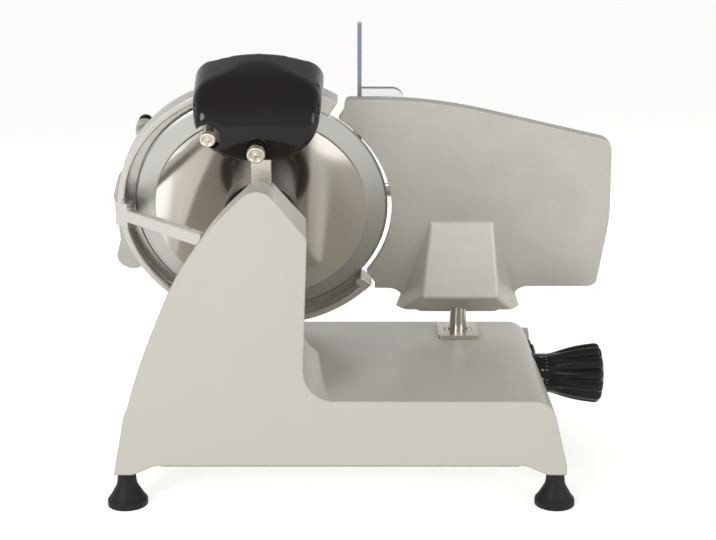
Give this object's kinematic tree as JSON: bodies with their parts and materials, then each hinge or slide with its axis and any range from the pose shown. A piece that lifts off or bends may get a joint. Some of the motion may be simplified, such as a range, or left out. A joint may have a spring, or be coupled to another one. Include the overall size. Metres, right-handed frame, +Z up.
{
  "type": "gravity feed food slicer",
  "caption": "Electric gravity-feed slicer: round blade in a ring guard, cast base with tower, sloping gauge plate, thickness knob, sharpener hood and sliding product tray with pusher.",
  "frame": {"origin": "on the table, under the middle of the box round the whole slicer", "axes": "+X right towards the thickness knob, +Y back towards the carriage, +Z up"},
  "size_m": [0.4962, 0.3904, 0.4326],
  "materials": {
    "casting": "satin off-white enamel",
    "rubber": "matt black",
    "steel": "bright zinc plated",
    "sheet": "plain sheet",
    "dark_metal": "dark machined casting",
    "motor_paint": "dark grey paint",
    "stainless": "brushed stainless",
    "blade_steel": "polished with a satin bevel",
    "chrome": "ground and plated",
    "brass": "turned",
    "cast_iron": "machined",
    "aluminium": "satin anodised casting",
    "hood_plastic": "glossy black-brown",
    "black_plastic": "black",
    "button_metal": "cream-white turned metal",
    "button_grey": "grey",
    "stone": "bonded abrasive",
    "white_plastic": "white",
    "clear": "clear acrylic sheet"
  },
  "bodies": {
    "frame": {"base_casting": "casting", "rubber_feet": "rubber", "foot_screws": "steel", "plate_screws": "steel", "frame_bolts": "steel", "strut_bolt": "steel", "bottom_plate": "sheet", "bearing_housing": "dark_metal", "shaft_bearings": "steel", "drive_motor": "motor_paint", "motor_plate": "sheet", "drive_belt": "rubber", "ring_guard": "casting", "blade_cover": "stainless", "cover_screws": "steel", "gauge_rods": "chrome", "knob_bush": "brass", "sharpener_neck": "stainless", "sharpener_hood": "hood_plastic", "sharpener_carrier": "aluminium", "carriage_rod": "chrome", "switch_housing": "black_plastic", "cable_gland": "black_plastic"},
    "blade_rotor": {"blade_shaft": "steel", "blade_flange": "stainless", "blade": "blade_steel", "blade_screws": "steel", "blade_pulley": "aluminium", "pulley_nut": "steel"},
    "motor_rotor": {"motor_shaft": "steel", "motor_pulley": "aluminium"},
    "gauge": {"gauge_plate": "aluminium", "gauge_post": "chrome", "slot_cover": "stainless", "slot_cover_screws": "steel", "slide_block": "cast_iron", "follower_pin": "steel"},
    "knob": {"thickness_knob": "black_plastic", "knob_shaft": "steel", "cam_disc": "brass"},
    "sharpening_plunger": {"sharpening_button": "button_metal"},
    "sharpening_wheel": {"sharpening_stone": "stone"},
    "deburring_plunger": {"deburring_button": "button_metal"},
    "deburring_wheel": {"deburring_stone": "stone"},
    "carriage": {"product_tray": "aluminium", "hand_guard": "clear", "hand_guard_screws": "steel", "handle_arm": "stainless", "carriage_handle": "black_plastic", "slider_bushes": "brass", "carriage_arm": "aluminium", "roller_axle": "steel", "pusher_rod": "chrome", "rod_cap": "black_plastic"},
    "roller": {"track_roller": "white_plastic"},
    "pusher_slider": {"pusher_collar": "steel"},
    "pusher": {"product_pusher": "aluminium", "pusher_knob": "black_plastic"},
    "start_switch": {"start_button": "button_grey"},
    "stop_switch": {"stop_button": "button_grey"}
  },
  "joints": [
    {"name": "blade_spin", "type": "hinge", "parent": "frame", "child": "blade_rotor", "pos_m": [-0.09664, -0.01717, 0.247], "axis": [0, -0.9354, -0.3535], "continuous": true},
    {"name": "motor_spin", "type": "hinge", "parent": "frame", "child": "motor_rotor", "pos_m": [-0.12165, -0.07642, 0.12091], "axis": [0, -0.9354, -0.3535], "continuous": true},
    {"name": "knob_turn", "type": "hinge", "parent": "frame", "child": "knob", "pos_m": [0.17336, -0.03717, 0.0795], "axis": [1, 0, 0], "range_deg": [0, 330]},
    {"name": "gauge_slide", "type": "slide", "parent": "frame", "child": "gauge", "axis": [0, -1, 0], "range_m": [0, 0.014]},
    {"name": "sharpening_press", "type": "slide", "parent": "frame", "child": "sharpening_plunger", "axis": [0, 0.9354, 0.3535], "range_m": [0, 0.004], "stiffness_N_per_m": 400},
    {"name": "sharpening_spin", "type": "hinge", "parent": "sharpening_plunger", "child": "sharpening_wheel", "pos_m": [-0.09125, -0.07151, 0.35688], "axis": [0, -0.9354, -0.3535], "continuous": true},
    {"name": "deburring_press", "type": "slide", "parent": "frame", "child": "deburring_plunger", "axis": [0, 0.9354, 0.3535], "range_m": [0, 0.004], "stiffness_N_per_m": 400},
    {"name": "deburring_spin", "type": "hinge", "parent": "deburring_plunger", "child": "deburring_wheel", "pos_m": [-0.13365, -0.0754, 0.36717], "axis": [0, -0.9354, -0.3535], "continuous": true},
    {"name": "carriage_slide", "type": "slide", "parent": "frame", "child": "carriage", "axis": [1, 0, 0], "range_m": [0, 0.24]},
    {"name": "roller_spin", "type": "hinge", "parent": "carriage", "child": "roller", "pos_m": [-0.11664, 0.05683, 0.066], "axis": [0, 1, 0], "continuous": true},
    {"name": "pusher_travel", "type": "slide", "parent": "carriage", "child": "pusher_slider", "axis": [0, 0.9354, 0.3535], "range_m": [0, 0.085]},
    {"name": "pusher_swing", "type": "hinge", "parent": "pusher_slider", "child": "pusher", "pos_m": [-0.23364, 0.00296, 0.25033], "axis": [0, -0.9354, -0.3535], "range_deg": [0, 110]},
    {"name": "start_press", "type": "slide", "parent": "frame", "child": "start_switch", "axis": [-0.972, 0, -0.2352], "range_m": [0, 0.003], "stiffness_N_per_m": 400},
    {"name": "stop_press", "type": "slide", "parent": "frame", "child": "stop_switch", "axis": [-0.972, 0, -0.2352], "range_m": [0, 0.003], "stiffness_N_per_m": 400}
  ],
  "couplings": [
    {"joint": "motor_spin", "follows": "blade_spin", "ratio": 4},
    {"joint": "knob_turn", "follows": "gauge_slide", "rad_per_m": 411.39},
    {"joint": "roller_spin", "follows": "carriage_slide", "rad_per_m": 129.87}
  ]
}
